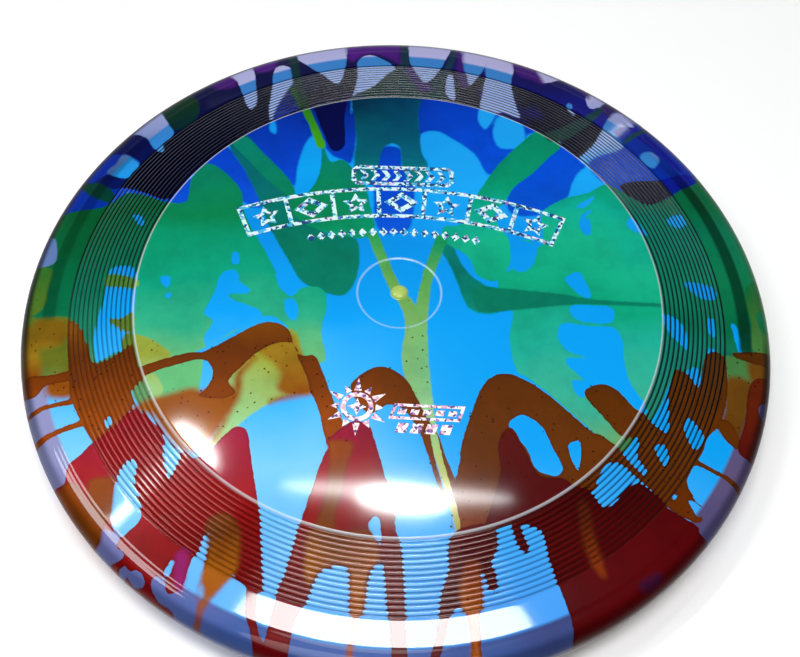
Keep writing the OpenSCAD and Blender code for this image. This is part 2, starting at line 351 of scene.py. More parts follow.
AREAS["lime"] = [
    # wedge in the lower left field
    [(-52, -57), (-48, -44), (-47, -38), (-50, -34.5), (-48, -28.5), (-36, -17), (-31, -16), (-28, -24),
     (-24.5, -36.5), (-30, -38), (-40, -44.2)],
    [(-82, -20), (-76, -20.5), (-71, -23), (-67, -27), (-74, -32), (-80, -30)],
    [(-77, -34), (-72, -33), (-69, -35.5), (-67.5, -39), (-70, -43), (-76, -41)],
    # smears in the left rings
    [(-91, 3), (-86, 2), (-81, 0), (-81, -3), (-86, -2), (-91, -1)],
    [(-88, -14), (-84, -14), (-80.5, -12), (-80, -19)],
    # ends of the fields on the rim
    [(-122, -9), (-111, -11), (-101, -12), (-98, -24), (-97, -32), (-106, -33), (-116, -34), (-126, -24)],
    [(-126, 8), (-111, 8), (-110, 1), (-111.5, -9), (-126, -9)],
    [(99, -14.5), (104, -13.5), (110, -13), (109.5, -22), (100, -22)],
    [(111, 14), (124, 20), (128, 0), (122, -12), (110.8, -11), (111, 0)],
]
STREAKS["lime"] = [
    [(-40, 86, 1.6), (-36, 76, 1.5), (-32, 67, 1.3), (-28.5, 58, 1.6)],
    [(-9.5, 22, 1.8), (-2, 3, 1.7), (3, -5, 2.2), (5.5, -13, 3.2), (6, -27, 4.0), (11, -48, 1.8),
     (15, -60, 1.4), (22, -86, 1.2), (25, -104, 1)],
    [(12.5, 21, 2.0), (10, 12, 1.8), (8, 3, 1.7), (6.5, -14, 2.4)],
]
GAPS["lime"] = [
    [(113, 4), (116, 5), (117, -2), (114, -2)],
]

AREAS["amber"] = [
    [(-42, -23), (-36, -18), (-31, -18), (-28, -25), (-24, -35), (-25, -38), (-31, -38.5), (-34.5, -36),
     (-34, -31), (-37, -27)],
    [(-77, -45), (-72, -42), (-66, -40), (-60, -37.5), (-55, -38), (-49, -35.5), (-45, -39), (-47, -45),
     (-51.5, -54), (-55, -58), (-60, -57), (-66, -51), (-70, -46.5)],
    [(-112, -12), (-101, -13), (-101, -20), (-106, -22), (-111, -21)],
    [(-104, -33), (-97, -32), (-95, -39), (-103, -38.5)],
    [(-122, -14), (-112, -14), (-109, -22), (-106.5, -32), (-112, -35), (-124, -30)],
    [(100, -21.5), (109, -22), (107, -32), (102.5, -43.5), (98.5, -41.5), (96, -38.5), (98.5, -32)],
    [(109.5, -12), (122, -12), (122, -22), (109, -22)],
]
STREAKS["amber"] = [
    [(-42, -26, 0.8), (-46, -32, 1.2), (-46, -38, 1.2), (-48, -46, 0.8), (-51, -54, 0.6)],
    [(-36, -41, 0.5), (-32, -39, 1), (-26, -37.5, 0.8)],
]

AREAS["brown"] = [
    # bent band of the lower left field
    [(-101, -13), (-98, -14.5), (-95, -19), (-91, -28), (-87, -28.3), (-82, -25.5), (-79.5, -23.5),
     (-77.5, -28), (-76, -31), (-70, -28.5), (-62, -25.5), (-56, -24), (-42, -14), (-34, -14.5), (-31, -20),
     (-28, -24.5), (-24.3, -24.5), (-21, -31), (-17, -41), (-14, -47), (-12, -52), (-15, -56), (-18.5, -54),
     (-22, -42), (-24.5, -37), (-26.5, -31), (-29, -26), (-32, -20), (-40, -22.8), (-46, -30), (-49, -34.5),
     (-46.5, -38), (-50, -40.5), (-57, -40), (-55, -37), (-53.7, -33), (-55, -29), (-58, -27.5),
     (-64, -29.5), (-70, -32), (-75, -35.5), (-77, -39), (-76, -44), (-80, -49), (-85, -53.5), (-88, -51.5),
     (-95, -41), (-97, -34), (-100, -19)],
    # arch over the emblem and its leg
    [(-13, -34), (-9, -29), (-4, -27), (1, -29), (4.5, -33), (10.5, -45), (13.5, -49.5), (15.5, -56),
     (18.4, -63), (21, -72), (22, -81), (18.3, -81), (16, -71), (13, -64), (8.5, -50), (5.5, -44.5),
     (2, -40.5), (-2, -40), (-7, -43), (-11, -39)],
    # arch of the lower right field
    [(18.5, -63.5), (19.5, -57), (20.3, -50), (25, -34), (29, -28.5), (34, -27.5), (39, -29.5), (46, -34.5),
     (57, -45), (60, -46.5), (65.5, -51), (63, -56), (57, -64), (50, -66), (42, -64), (36, -60), (30, -66),
     (28, -77), (22, -80), (18.5, -78)],
    [(56, -33.5), (58, -30.3), (62, -29.4), (66, -31.5), (72, -38), (80, -37), (81.5, -30), (84, -22.3),
     (88, -23.3), (91, -26.8), (93.3, -18), (95.5, -14), (99, -13.3), (100.8, -16), (100.5, -26),
     (98.5, -34), (96, -39), (92.5, -42.5), (91, -47), (85.5, -57), (90, -65), (88, -69), (80, -66),
     (73, -60), (66, -56), (62, -58), (66, -51), (69, -46), (66, -46.5), (62, -41.5)],
    # right rim and left rim
    [(104, -12), (118, -10), (120, -15), (112, -15), (105, -14)],
    [(96, -37), (100, -36), (103, -42), (102, -45), (98, -42)],
    [(-114, -35), (-110, -31.5), (-104, -31.5), (-97, -30.5), (-97, -33.5), (-104, -35), (-107, -38.5),
     (-112, -38)],
]
STREAKS["brown"] = [
    # thin runs over the clear rim
    [(-118, -48, 0.9), (-107, -44, 0.9), (-102, -41.8, 0.8), (-92, -40.3, 1)],
    [(-112, -58, 1.3), (-103, -53, 1.1), (-98, -50.3, 0.8), (-89, -47, 1.2)],
    [(87, -50, 1), (93, -52.5, 0.7), (98, -54.5, 0.8), (104, -59, 1)],
]
GAPS["brown"] = [
    [(10.9, -48), (13, -49.5), (14.7, -57), (19, -72), (20.3, -81), (19, -81), (16.4, -71), (12.5, -57)],
    [(-54.7, -45.5), (-53.3, -45.8), (-52.5, -49), (-53.8, -49.6)],
    [(-84, -47), (-81.8, -46.3), (-81.5, -49), (-83, -50)],
    [(33.5, -45), (36, -41.5), (38.5, -41.3), (43, -44.5), (46, -51), (48.8, -57.5), (47.5, -60),
     (44.5, -60), (41, -58), (38.5, -52)],
    [(50.5, -51), (52.5, -49), (54.2, -49.5), (53.8, -56), (52.8, -58)],
    # bare gashes in the rings
    [(58.5, -61), (61, -56), (65, -54.5), (69.5, -58), (66, -62), (61.5, -67), (59.5, -66)],
    [(66.5, -49), (70, -46), (71.5, -47.5), (71, -52), (73.5, -55.5), (72.5, -57.5), (66.5, -52)],
    [(73.5, -38.5), (80.5, -35), (81, -39), (80, -43.5)],
    [(76, -48.5), (79, -47), (80.3, -50), (80, -53.5), (78.5, -53.5)],
    [(86, -38), (88, -37.5), (92, -42.5), (90, -46), (88, -47), (85.5, -42)],
    [(80.5, -62), (82.5, -60.5), (82, -62.5), (80.5, -63.3)],
    [(86, -62.3), (90, -65), (88.5, -67.5), (86.3, -64.5)],
]

AREAS["red"] = [
    # wedge at the lower left, its foot over the rings and the rim outside them
    [(-47, -51), (-43.8, -49.5), (-41.5, -51.5), (-39.5, -60), (-36, -75), (-34, -90), (-33.5, -96.5),
     (-37, -95.5), (-42, -92), (-50, -91), (-54, -95), (-57, -97), (-60, -98.5), (-57, -103), (-62, -108),
     (-90, -92), (-108, -72), (-96, -67), (-93, -66), (-93, -61), (-90, -58), (-87, -54.5), (-80, -49),
     (-77, -45.5), (-74, -45), (-67, -51), (-65, -54.5), (-59.5, -58), (-56, -60), (-52, -58)],
    # pillar under the emblem
    [(-19, -53), (-18, -54.5), (-20, -60), (-27, -91), (-29, -97), (-34, -126), (-26, -126), (-25, -112),
     (-23.5, -103), (-21.5, -99.5), (-18, -91), (-12, -89), (-10, -90.5), (-9.4, -95), (-8.8, -101.5),
     (-5.8, -101), (-4.6, -91.5), (-2.8, -88.5), (-1.2, -88), (-0.2, -91), (2.5, -110), (4, -126), (8, -126),
     (4.3, -88), (2, -78), (1.5, -73), (-5.2, -51), (-7, -47), (-12, -46)],
    # right leg
    [(18.3, -79), (17, -84), (17.3, -89), (15.6, -95), (15.2, -101.5), (16.5, -103), (18.7, -99.3),
     (20.5, -98.3), (22.5, -100), (23, -102), (24, -110), (25, -126), (28, -126), (26, -102), (26.6, -97),
     (25.8, -88.5), (27.3, -90), (28.6, -93.3), (30.3, -92.8), (30, -89.5), (28.7, -86), (30.2, -81.5),
     (29.5, -77), (25, -76)],
    # deep field at the lower right, out over the rim
    [(31, -60), (30.5, -52), (31.5, -47.5), (34, -45.5), (36.3, -48.5), (41, -58.8), (44, -60.8),
     (48.5, -60.8), (52, -63), (56, -63.5), (60, -68), (63, -67), (70, -60), (76, -62.5), (80, -66),
     (88, -70), (90, -73), (110, -84), (92, -98), (70, -114), (54, -124), (51.8, -106), (51, -99.5),
     (45, -84), (43.5, -78), (41, -75.5), (35, -75), (30, -77), (27, -77), (28.5, -70)],
    # outside of the right rim
    [(109, -21), (120, -21), (122, -34), (114, -50), (106, -48), (102, -45), (105, -36)],
]
STREAKS["red"] = [
    [(-35.8, -95, 1.7), (-36, -101, 1.5), (-34.5, -107, 1.1), (-33, -112, 1.6), (-35, -124, 1.6)],
    [(16.3, -101, 1.2), (15.5, -107, 1.3), (14, -113, 1.2), (13, -124, 1)],
    [(35.3, -75, 1.2), (36.5, -79, 1.1), (38, -81.5, 1)],
]
GAPS["red"] = [
    PILLAR_GAP,
    [(-77.5, -63), (-75.3, -60), (-73, -59.8), (-72, -62.5), (-72, -66.5), (-69, -75.5), (-72, -80),
     (-74.5, -82), (-77.5, -78), (-78.3, -69)],
    [(-65, -55), (-62.5, -55.5), (-59.5, -58.5), (-62.5, -66), (-65.2, -58.5)],
    [(-53.5, -88), (-52, -86), (-50.8, -81.5), (-48.8, -82), (-49.8, -91), (-51.5, -97), (-53, -99),
     (-55, -97)],
    [(-59.4, -88.7), (-58, -88.4), (-59.5, -93), (-60.8, -92)],
    # bites along the outside of the rim
    [(-80, -79.6), (-77, -80.7), (-74.3, -81.5), (-75.2, -84.5), (-73, -86), (-73.5, -88), (-79, -89),
     (-84, -86.5), (-80.5, -83.5)],
    [(-74, -91), (-72, -89.8), (-71, -91.5), (-72.3, -93)],
    [(-71, -92), (-68.3, -91), (-66, -93.5), (-66.5, -95.3), (-69, -95)],
    [(-64, -93.5), (-62, -92.8), (-60.3, -94), (-59.6, -97), (-57, -98.5), (-58, -101), (-61.5, -99),
     (-63.5, -96.5)],
    [(110, -30), (113, -27.5), (118, -28), (117, -35), (111.5, -34)],
]

AREAS["rust"] = [
    # down the pillar and along its foot
    [(-18, -52.5), (-11, -53), (-12.3, -60), (-13, -67), (-14.5, -74), (-15, -80), (-20, -80), (-18.7, -73),
     (-17.5, -65), (-17.8, -57)],
    [(-21, -80), (-12, -80), (-4, -79), (-2.4, -84), (-2.6, -88), (-5, -90.5), (-5.5, -97), (-6, -101.5),
     (-8.6, -101.5), (-9.2, -95), (-10, -90), (-14, -88.5), (-18, -90.5), (-21, -94), (-22, -88)],
    # wedge over the lower left rings, and the rim left of it
    [(-50, -78), (-45, -76), (-41, -80), (-40.5, -88), (-41.5, -92), (-47, -99), (-49.3, -102), (-50.8, -98),
     (-50.3, -92), (-49, -86)],
    [(-94, -67), (-90, -66), (-86, -70), (-80, -79), (-81, -84), (-88, -86), (-98, -74)],
    [(-86, -66), (-82, -64.5), (-78.6, -65.5), (-78, -76), (-81, -78.5), (-84, -74)],
    # in the right leg and the deep field
    [(22.3, -86), (25.5, -87), (26.2, -92), (26.5, -98), (25.8, -102), (27, -126), (25, -126), (24, -110),
     (23, -101.5), (21, -97.5), (20.5, -92)],
    [(53, -68), (56, -68), (57.5, -76), (61, -86), (59, -87), (55, -80)],
]
STREAKS["rust"] = [
    [(-49.3, -100, 1), (-50.5, -106, 0.9), (-52, -112, 0.7)],
    [(-7.5, -100, 1.3), (-8, -106, 0.8), (-8.6, -112, 0.9), (-9, -124, 1)],
]
GAPS["rust"] = [
    [(-50.8, -96.8), (-49.6, -95.3), (-49.3, -98), (-50.2, -99)],
    PILLAR_GAP,
]

AREAS["navy"] = [
    # one broad run round the back, from the left rings to the right ones
    [(-103, 44), (-97, 40), (-92, 40), (-83, 35.5), (-77, 32.5), (-73, 37), (-70.5, 42.5), (-66, 48.5),
     (-55, 60), (-46, 68), (-36, 74), (-30, 77), (-18, 80.5), (6, 81.4), (28, 77), (46, 68.5), (52, 64.5),
     (57, 58.5), (61, 63), (65, 69), (68, 77), (70, 84), (66, 92), (66, 112), (30, 132), (-64, 116),
     (-82, 100), (-92, 82), (-86, 76), (-80, 66), (-84, 59), (-92, 66), (-102, 64), (-101, 57), (-94, 56),
     (-89, 51), (-92, 45), (-98, 47)],
    # spike beside the lime drip
    [(-33, 79), (-22, 82), (-21.5, 70), (-20.5, 60), (-22, 56), (-25, 56), (-28, 63), (-31, 71)],
    # ends of the run on the right
    [(71, 47), (76, 42.5), (82, 42), (92, 51), (99, 57), (96, 60), (88, 56), (82, 53), (76, 51)],
    [(76, 79), (82, 78), (88, 70), (94, 62), (92, 61), (86, 68), (80, 74)],
]
GAPS["navy"] = [
    [(-41, 92), (-46, 68), (-40, 72), (-36, 76), (-38, 84)],
    *WINDOWS,
]

AREAS["moss"] = [
    # the forked streak's run over the right field
    [(23, 3), (30, 3.5), (50, 2.3), (62, 0.8), (82, 0.5), (82, -0.8), (62, -1), (50, -2), (30, -5.5),
     (24, -5)],
    # grey-green lobe over the far rings, with two spikes to the rim
    [(-16, 82), (-11.5, 88), (-7.5, 96), (-4.5, 100), (-3.5, 108), (-3, 122), (-1, 122), (-0.8, 108),
     (0.2, 101), (2.5, 95), (4.5, 90.5), (6.5, 90.5), (9.5, 95.5), (12, 101), (14, 109), (15.5, 122),
     (17, 122), (16.5, 109), (12.3, 94), (11.5, 88), (10, 81.5)],
    [(-86, 79), (-81, 86), (-75, 84), (-72, 76), (-74, 70), (-79, 66.5), (-83, 72)],
    [(-108, 43.5), (-101, 43), (-95.5, 38), (-96, 34), (-100, 35.5), (-105, 39)],
]
STREAKS["moss"] = [
    [(-45, 116, 1.5), (-42, 104, 1.6), (-39.5, 92, 1.5), (-35, 75, 1.2)],
    [(71, 92, 0.9), (67, 86, 1.2), (55, 71.5, 2.4), (49, 67, 2.6)],
    [(84, 80, 0.7), (78, 75, 0.9), (75, 71, 0.7)],
]

AREAS["purple"] = [
    [(-23, 122), (-23, 108), (-21, 103), (-18.5, 106), (-14, 108.5), (-8, 106), (-4, 103), (-4, 108),
     (-6, 122)],
    [(0.2, 101), (2.5, 95), (4.2, 91), (6.5, 90.5), (8, 87), (4, 86), (1, 92), (-1.5, 100)],
    [(-70, 96), (-66, 98), (-62, 93), (-61, 89), (-66, 87.5), (-70, 90)],
    [(-57, 110), (-50, 112), (-48, 100), (-52, 97), (-56, 99)],
    [(17, 118), (19, 118), (18.8, 104), (20, 95), (20.3, 91), (18.5, 90), (17, 98), (16.8, 108)],
    [(36, 118), (37, 106), (39, 101), (44, 99), (48, 97), (46, 104), (44, 112), (40, 118)],
    [(52, 108), (56, 101), (60, 97), (63.5, 92), (64, 98), (60, 106)],
    [(68, 88), (72, 92), (76, 88), (72, 86), (70, 83)],
    # the lower left shoulder and the lower right rim
    [(-58, -87), (-55, -86), (-54.5, -92), (-55.5, -97), (-57.5, -95)],
    [(70, -88.5), (75.5, -84.5), (77, -86), (73, -90)],
]


def dye_depths(xy):
    """For each dye, how far inside its edge each place on the disc lies, in millimetres."""
    depths = {}
    for name, areas in AREAS.items():
        found = np.full(len(xy), -FAR)
        for outline in areas:
            found = np.maximum(found, inside(outline, xy))
        for route in STREAKS.get(name, []):
            found = np.maximum(found, streak(route, xy))
        for outline in GAPS.get(name, []):
            found = np.minimum(found, -inside(outline, xy))
        depths[name] = found
    return depths


# ---------------------------------------------------------------- the shell as one lathe
def dye_radius(rows, widest):
    """How far out along the skin each row lies: its radius, then on down the outer wall."""
    reach = rows[:, 0].copy()
    steps = np.hypot(*np.diff(rows, axis=0).T)
    reach[widest:] = reach[widest] + np.concatenate([[0], np.cumsum(steps[widest:])])
    return reach


def groove_nearness(radius):
    """1 at the bottom of a groove and 0 over the ridges, for the rows between plate and shoulder."""
    phase = (radius - PLATE_R) / PITCH - 0.5
    gap = np.abs(phase - np.round(phase)) * PITCH
    inside_rings = (radius > PLATE_R + 0.1) & (radius < RING_R + 0.4)
    return np.where(inside_rings, np.clip(1 - gap / 0.5, 0, 1), 0)


def lathe(name):
    """The shell's mesh, with the dye's depths and the place in the profile kept on its vertices."""
    top, foot, under = top_profile(), foot_profile(), under_profile()
    rows = np.vstack([top, foot, under])
    outer = dye_radius(top, int(np.argmax(top[:, 0])))
    reach = np.concatenate([outer, np.full(len(foot), FOOT_REACH), under[:, 0]])
    ring_rows = rows[1:-1]
    ring_reach = reach[1:-1]
    turn = 2 * np.pi * np.arange(SEGMENTS) / SEGMENTS
    out = np.column_stack([np.cos(turn), np.sin(turn)])
    flat = (ring_rows[:, 0][:, None, None] * out[None]).reshape(-1, 2)
    height = np.repeat(ring_rows[:, 1], SEGMENTS)
    co = np.vstack([[(0, 0, rows[0, 1])], np.column_stack([flat, height]), [(0, 0, rows[-1, 1])]]) * MM
    plan = np.vstack([[(0, 0)], (ring_reach[:, None, None] * out[None]).reshape(-1, 2), [(0, 0)]])

    first = 1 + np.arange(len(ring_rows))[:, None] * SEGMENTS
    a = first[:-1] + np.arange(SEGMENTS)
    b = first[:-1] + (np.arange(SEGMENTS) + 1) % SEGMENTS
    quads = np.stack([a, a + SEGMENTS, b + SEGMENTS, b], axis=-1).reshape(-1, 4)
    around = np.arange(SEGMENTS)
    beside = (around + 1) % SEGMENTS
    last = first[-1, 0]
    caps = np.vstack([
        np.column_stack([np.zeros_like(around), 1 + around, 1 + beside]),
        np.column_stack([np.full(SEGMENTS, len(co) - 1), last + beside, last + around]),
    ])
    mesh = bpy.data.meshes.new(name)
    mesh.from_pydata(co.tolist(), [], quads.tolist() + caps.tolist())
    mesh.shade_smooth()

    def keep(attribute, values):
        mesh.attributes.new(attribute, "FLOAT", "POINT").data.foreach_set("value", values.astype(np.float32))

    def per_row(values):
        return np.concatenate([values[:1], np.repeat(values[1:-1], SEGMENTS), values[-1:]])

    for dye, depth in dye_depths(plan).items():
        keep("dye_" + dye, depth)
    is_top = np.arange(len(rows)) < len(top)
    keep("groove", per_row(np.where(is_top, groove_nearness(rows[:, 0]), 0)))
    keep("reach", per_row(reach))
    shell = bpy.data.objects.new(name, mesh)
    bpy.context.scene.collection.objects.link(shell)
    return shell


# ---------------------------------------------------------------- material helpers
def linear(r, g, b):
    """A colour given as the 0 to 255 of a screen, as the shader's linear numbers."""
    def one(c):
        c /= 255
        return c / 12.92 if c <= 0.04045 else ((c + 0.055) / 1.055) ** 2.4
    return (one(r), one(g), one(b), 1.0)


class Graph:
    """Short calls for building one material's nodes."""

    def __init__(self, name):
        self.material = bpy.data.materials.new(name)
        self.material.use_nodes = True
        self.tree = self.material.node_tree
        self.tree.nodes.clear()

    def node(self, kind, **settings):
        made = self.tree.nodes.new(kind)
        for key, value in settings.items():
            setattr(made, key, value)
        return made

    def feed(self, socket, value):
        if isinstance(value, bpy.types.NodeSocket):
            self.tree.links.new(value, socket)
        else:
            socket.default_value = value

    def attribute(self, name):
        return self.node("ShaderNodeAttribute", attribute_name=name).outputs["Fac"]

    def math(self, operation, a, b):
        made = self.node("ShaderNodeMath", operation=operation)
        self.feed(made.inputs[0], a)
        self.feed(made.inputs[1], b)
        return made.outputs[0]

    def times(self, first, *others):
        for other in others:
            first = self.math("MULTIPLY", first, other)
        return first

    def ramp(self, value, low, high, to_low=0.0, to_high=1.0, smooth=True):
        """value mapped from low..high to to_low..to_high and kept inside it."""
        kind = "SMOOTHSTEP" if smooth else "LINEAR"
        made = self.node("ShaderNodeMapRange", interpolation_type=kind, clamp=True)
        for socket, number in zip(made.inputs[:5], (value, low, high, to_low, to_high), strict=True):
            self.feed(socket, number)
        return made.outputs[0]

    def between(self, value, rise_from, rise_to, fall_from, fall_to):
        """1 between two soft edges and 0 outside them."""
        return self.times(self.ramp(value, rise_from, rise_to), self.ramp(value, fall_to, fall_from))

    def mix(self, share, a, b, blend="MIX"):
        made = self.node("ShaderNodeMix", data_type="RGBA", blend_type=blend)
        self.feed(made.inputs["Factor"], share)
        self.feed(made.inputs["A"], a)
        self.feed(made.inputs["B"], b)
        for socket in made.outputs:
            if socket.type == "RGBA":
                return socket

    def noise(self, scale, detail, roughness=0.5):
        made = self.node("ShaderNodeTexNoise")
        made.inputs["Scale"].default_value = scale
        made.inputs["Detail"].default_value = detail
        made.inputs["Roughness"].default_value = roughness
        self.feed(made.inputs["Vector"], self.place())
        return made.outputs["Fac"]

    def place(self):
        return self.node("ShaderNodeTexCoord").outputs["Object"]

    def stops(self, value, stops):
        """A colour that runs through stops of (y in millimetres, screen colour), by a value 0 to 1."""
        made = self.node("ShaderNodeValToRGB")
        self.feed(made.inputs[0], value)
        ramp = made.color_ramp
        for _ in range(len(stops) - 2):
            ramp.elements.new(0.5)
        for element, (y, shade) in zip(ramp.elements, stops, strict=True):
            element.position = (y + RIM_R) / (2 * RIM_R)
            element.color = linear(*shade)
        return made.outputs[0]

    def finish(self, shader):
        self.feed(self.node("ShaderNodeOutputMaterial").inputs["Surface"], shader)
        return self.material


# ---------------------------------------------------------------- the dyed plastic
# Each dye's colours on the left and the right half, from front to back, as (y in millimetres, screen
# colour), and how soft its edge is in millimetres.
DYE_LOOKS = {}
DYE_LOOKS["royal"] = (
    [(20, (8, 84, 210)), (48, (3, 64, 195)), (66, (3, 48, 160)), (82, (2, 26, 105))],
    [(20, (8, 84, 215)), (42, (3, 76, 196)), (56, (2, 76, 210)), (82, (1, 56, 180))],
    0.6,
)
DYE_LOOKS["teal"] = (
    [(-5, (3, 120, 98)), (12, (3, 114, 88)), (40, (3, 104, 104)), (64, (2, 84, 100)), (84, (0, 40, 60))],
    [(-5, (4, 140, 115)), (10, (2, 104, 95)), (46, (12, 160, 150)), (62, (3, 100, 125)), (84, (0, 64, 104))],
    0.5,
)
DYE_LOOKS["green"] = (
    [(-28, (100, 184, 120)), (-14, (44, 170, 130)), (0, (8, 156, 120)), (18, (4, 142, 100)),
     (28, (5, 124, 74)), (56, (4, 120, 100))],
    [(-44, (100, 160, 100)), (-32, (58, 174, 145)), (-14, (28, 168, 146)), (0, (8, 158, 118)),
     (20, (20, 172, 132)), (34, (10, 164, 140)), (46, (4, 146, 106)), (66, (3, 130, 96))],
    0.3,
)
DYE_LOOKS["lime"] = (
    [(-56, (190, 206, 150)), (-42, (150, 208, 140)), (-28, (150, 160, 56)), (-12, (135, 160, 60)),
     (6, (110, 170, 70)), (24, (30, 150, 76)), (60, (60, 150, 20)), (80, (30, 110, 24))],
    [(-78, (140, 126, 24)), (-66, (208, 202, 128)), (-54, (170, 184, 92)), (-38, (140, 200, 144)),
     (-26, (96, 190, 140)), (-12, (104, 182, 112)), (5, (80, 158, 82)), (18, (20, 146, 94))],
    0.4,
)
DYE_LOOKS["amber"] = (
    [(-56, (196, 116, 36)), (-44, (160, 88, 16)), (-34, (138, 72, 8)), (-24, (150, 116, 24)),
     (-14, (120, 90, 14))],
    [(-40, (84, 50, 8)), (-20, (104, 66, 14))],
    1.6,
)
DYE_LOOKS["brown"] = (
    [(-60, (168, 74, 8)), (-45, (150, 70, 8)), (-34, (116, 52, 4)), (-24, (98, 44, 3)), (-12, (128, 72, 4))],
    [(-80, (124, 52, 6)), (-60, (94, 42, 2)), (-45, (98, 48, 5)), (-30, (92, 44, 2)), (-12, (80, 42, 6))],
    0.12,
)
DYE_LOOKS["red"] = (
    [(-110, (110, 4, 10)), (-84, (136, 10, 12)), (-66, (164, 26, 36)), (-48, (160, 26, 62))],
    [(-110, (72, 2, 5)), (-80, (86, 3, 8)), (-60, (76, 4, 6)), (-45, (84, 12, 8)), (-20, (96, 30, 8))],
    0.12,
)
DYE_LOOKS["rust"] = (
    [(-110, (150, 66, 4)), (-94, (160, 88, 4)), (-84, (110, 52, 2)), (-70, (140, 66, 14)),
     (-54, (160, 76, 20))],
    [(-110, (184, 88, 10)), (-96, (160, 78, 10)), (-86, (128, 48, 8)), (-68, (84, 26, 4))],
    1.0,
)
DYE_LOOKS["navy"] = (
    [(30, (2, 26, 100)), (52, (2, 10, 74)), (74, (2, 6, 60)), (110, (6, 6, 62))],
    [(44, (1, 30, 100)), (56, (2, 20, 140)), (72, (2, 12, 130)), (96, (6, 8, 96)), (114, (10, 4, 60))],
    0.25,
)
DYE_LOOKS["moss"] = (
    [(36, (0, 58, 44)), (62, (0, 34, 46)), (78, (3, 46, 26)), (98, (6, 44, 50))],
    [(0, (3, 118, 92)), (30, (3, 118, 92)), (60, (4, 66, 44)), (80, (14, 54, 62)), (104, (6, 44, 72))],
    0.5,
)
DYE_LOOKS["purple"] = (
    [(-96, (140, 22, 96)), (20, (120, 30, 120)), (78, (52, 14, 90)), (112, (74, 12, 124))],
    [(-80, (58, 14, 44)), (76, (36, 20, 80)), (112, (64, 10, 116))],
    1.2,
)


class Skin(Graph):
    """A graph that knows where on the disc it is: across and along in metres, reach in millimetres."""

    def __init__(self, name):
        super().__init__(name)
        split = self.node("ShaderNodeSeparateXYZ")
        self.feed(split.inputs[0], self.place())
        self.across, self.along = split.outputs["X"], split.outputs["Y"]
        self.reach = self.attribute("reach")
        self.cloud = self.noise(24, 3)
        self.in_rings = self.between(self.reach, 80.8, 81.8, 101.6, 102.4)
        self.on_shoulder = self.ramp(self.reach, 101.0, 102.2)
        self.right_half = self.ramp(self.across, -0.03, 0.03)
        drift = self.times(self.math("SUBTRACT", self.cloud, 0.5), 0.045)
        drifted = self.math("ADD", self.along, drift)
        self.from_front = self.ramp(drifted, -RIM_R * MM, RIM_R * MM, smooth=False)

    def shaded(self, colour, share, shade):
        """colour darkened by a share of a shade."""
        return self.mix(share, colour, self.mix(1.0, colour, linear(*shade), "MULTIPLY"))

    def both_halves(self, left, right):
        """A colour that runs from front to back through its own stops on each half."""
        left_tone, right_tone = (self.stops(self.from_front, stops) for stops in (left, right))
        return self.mix(self.right_half, left_tone, right_tone)


def bare_plastic(g):
    """The azure ground, paler behind the plate and, partly as a painted sheen, towards the front; a painted
    shade on the far shoulder; and the clear rim.
    """
    # paler towards the front: partly the plastic's tone, partly a painted sheen
    ground = g.both_halves(
        [(-100, (96, 176, 244)), (-60, (120, 202, 250)), (-36, (60, 178, 246)), (-12, (6, 156, 236)),
         (20, (6, 134, 216)), (45, (10, 154, 230)), (70, (10, 140, 220))],
        [(-100, (70, 150, 236)), (-70, (60, 168, 244)), (-45, (10, 156, 236)), (-12, (4, 154, 234)),
         (20, (6, 140, 224)), (48, (24, 160, 236)), (70, (24, 150, 226))],
    )
    ground = g.mix(g.times(g.in_rings, g.ramp(g.along, 0.05, 0.075)), ground, linear(150, 172, 222))
    # painted shade: the shoulder is darker at the back
    far_shoulder_shade = g.times(g.ramp(g.reach, 100.8, 102.0), g.ramp(g.along, 0.03, 0.075))
    ground = g.mix(far_shoulder_shade, ground, linear(52, 120, 190))
    clear = g.both_halves(
        [(-110, (66, 92, 158)), (-84, (112, 114, 168)), (-62, (140, 142, 188)), (-40, (140, 144, 188)),
         (40, (60, 106, 164)), (90, (166, 168, 212))],
        [(-110, (60, 92, 160)), (-92, (58, 62, 112)), (-50, (92, 80, 118)), (20, (60, 70, 120)),
         (60, (70, 110, 170)), (90, (170, 168, 212))],
    )
    # the clear rim begins nearer the middle at the back
    rim_reach = g.math("ADD", g.reach, g.times(g.ramp(g.along, -0.03, 0.08), 2.6))
    return g.mix(g.ramp(rim_reach, 109.4, 110.8), ground, clear)


def dyed(g, colour):
    """colour with each dye over it: edges that fray and creep along the grooves, a blotchy grain, and
    painted shade that darkens some dyes over the rings and on the shoulder.
    """
    fray = g.times(g.math("SUBTRACT", g.noise(420, 3, 0.6), 0.5), 0.8)
    spread = g.math("ADD", fray, g.times(g.attribute("groove"), 0.8))
    grain = g.ramp(g.noise(130, 4, 0.6), 0.35, 0.75, 0.0, 0.25)
    for name, (left, right, softness) in DYE_LOOKS.items():
        depth = g.math("ADD", g.attribute("dye_" + name), spread)
        tone = g.both_halves(left, right)
        # painted shade: navy, royal, red, green and lime are darker over the rings or on the shoulder
        if name == "navy":
            bright = g.mix(g.right_half, linear(1, 4, 62), linear(2, 8, 140))
            ring_shade_tone = g.mix(g.ramp(g.cloud, 0.56, 0.66), linear(1, 3, 36), bright)
            tone = g.mix(g.in_rings, tone, ring_shade_tone)
        if name == "royal":
            tone = g.shaded(tone, g.on_shoulder, (120, 160, 190))
        if name == "red":
            tone = g.shaded(tone, g.in_rings, (238, 160, 130))
        if name in ("green", "lime"):
            tone = g.shaded(tone, g.in_rings, (170, 190, 190))
            tone = g.shaded(tone, g.on_shoulder, (176, 176, 150))
        tone = g.shaded(tone, grain, (150, 160, 170))
        if name in ("brown", "red", "rust"):
            tone = g.shaded(tone, g.ramp(depth, 1.0, 0.1, 0.0, 0.3), (140, 140, 140))
        colour = g.mix(g.ramp(depth, -softness, softness), colour, tone)
    return colour


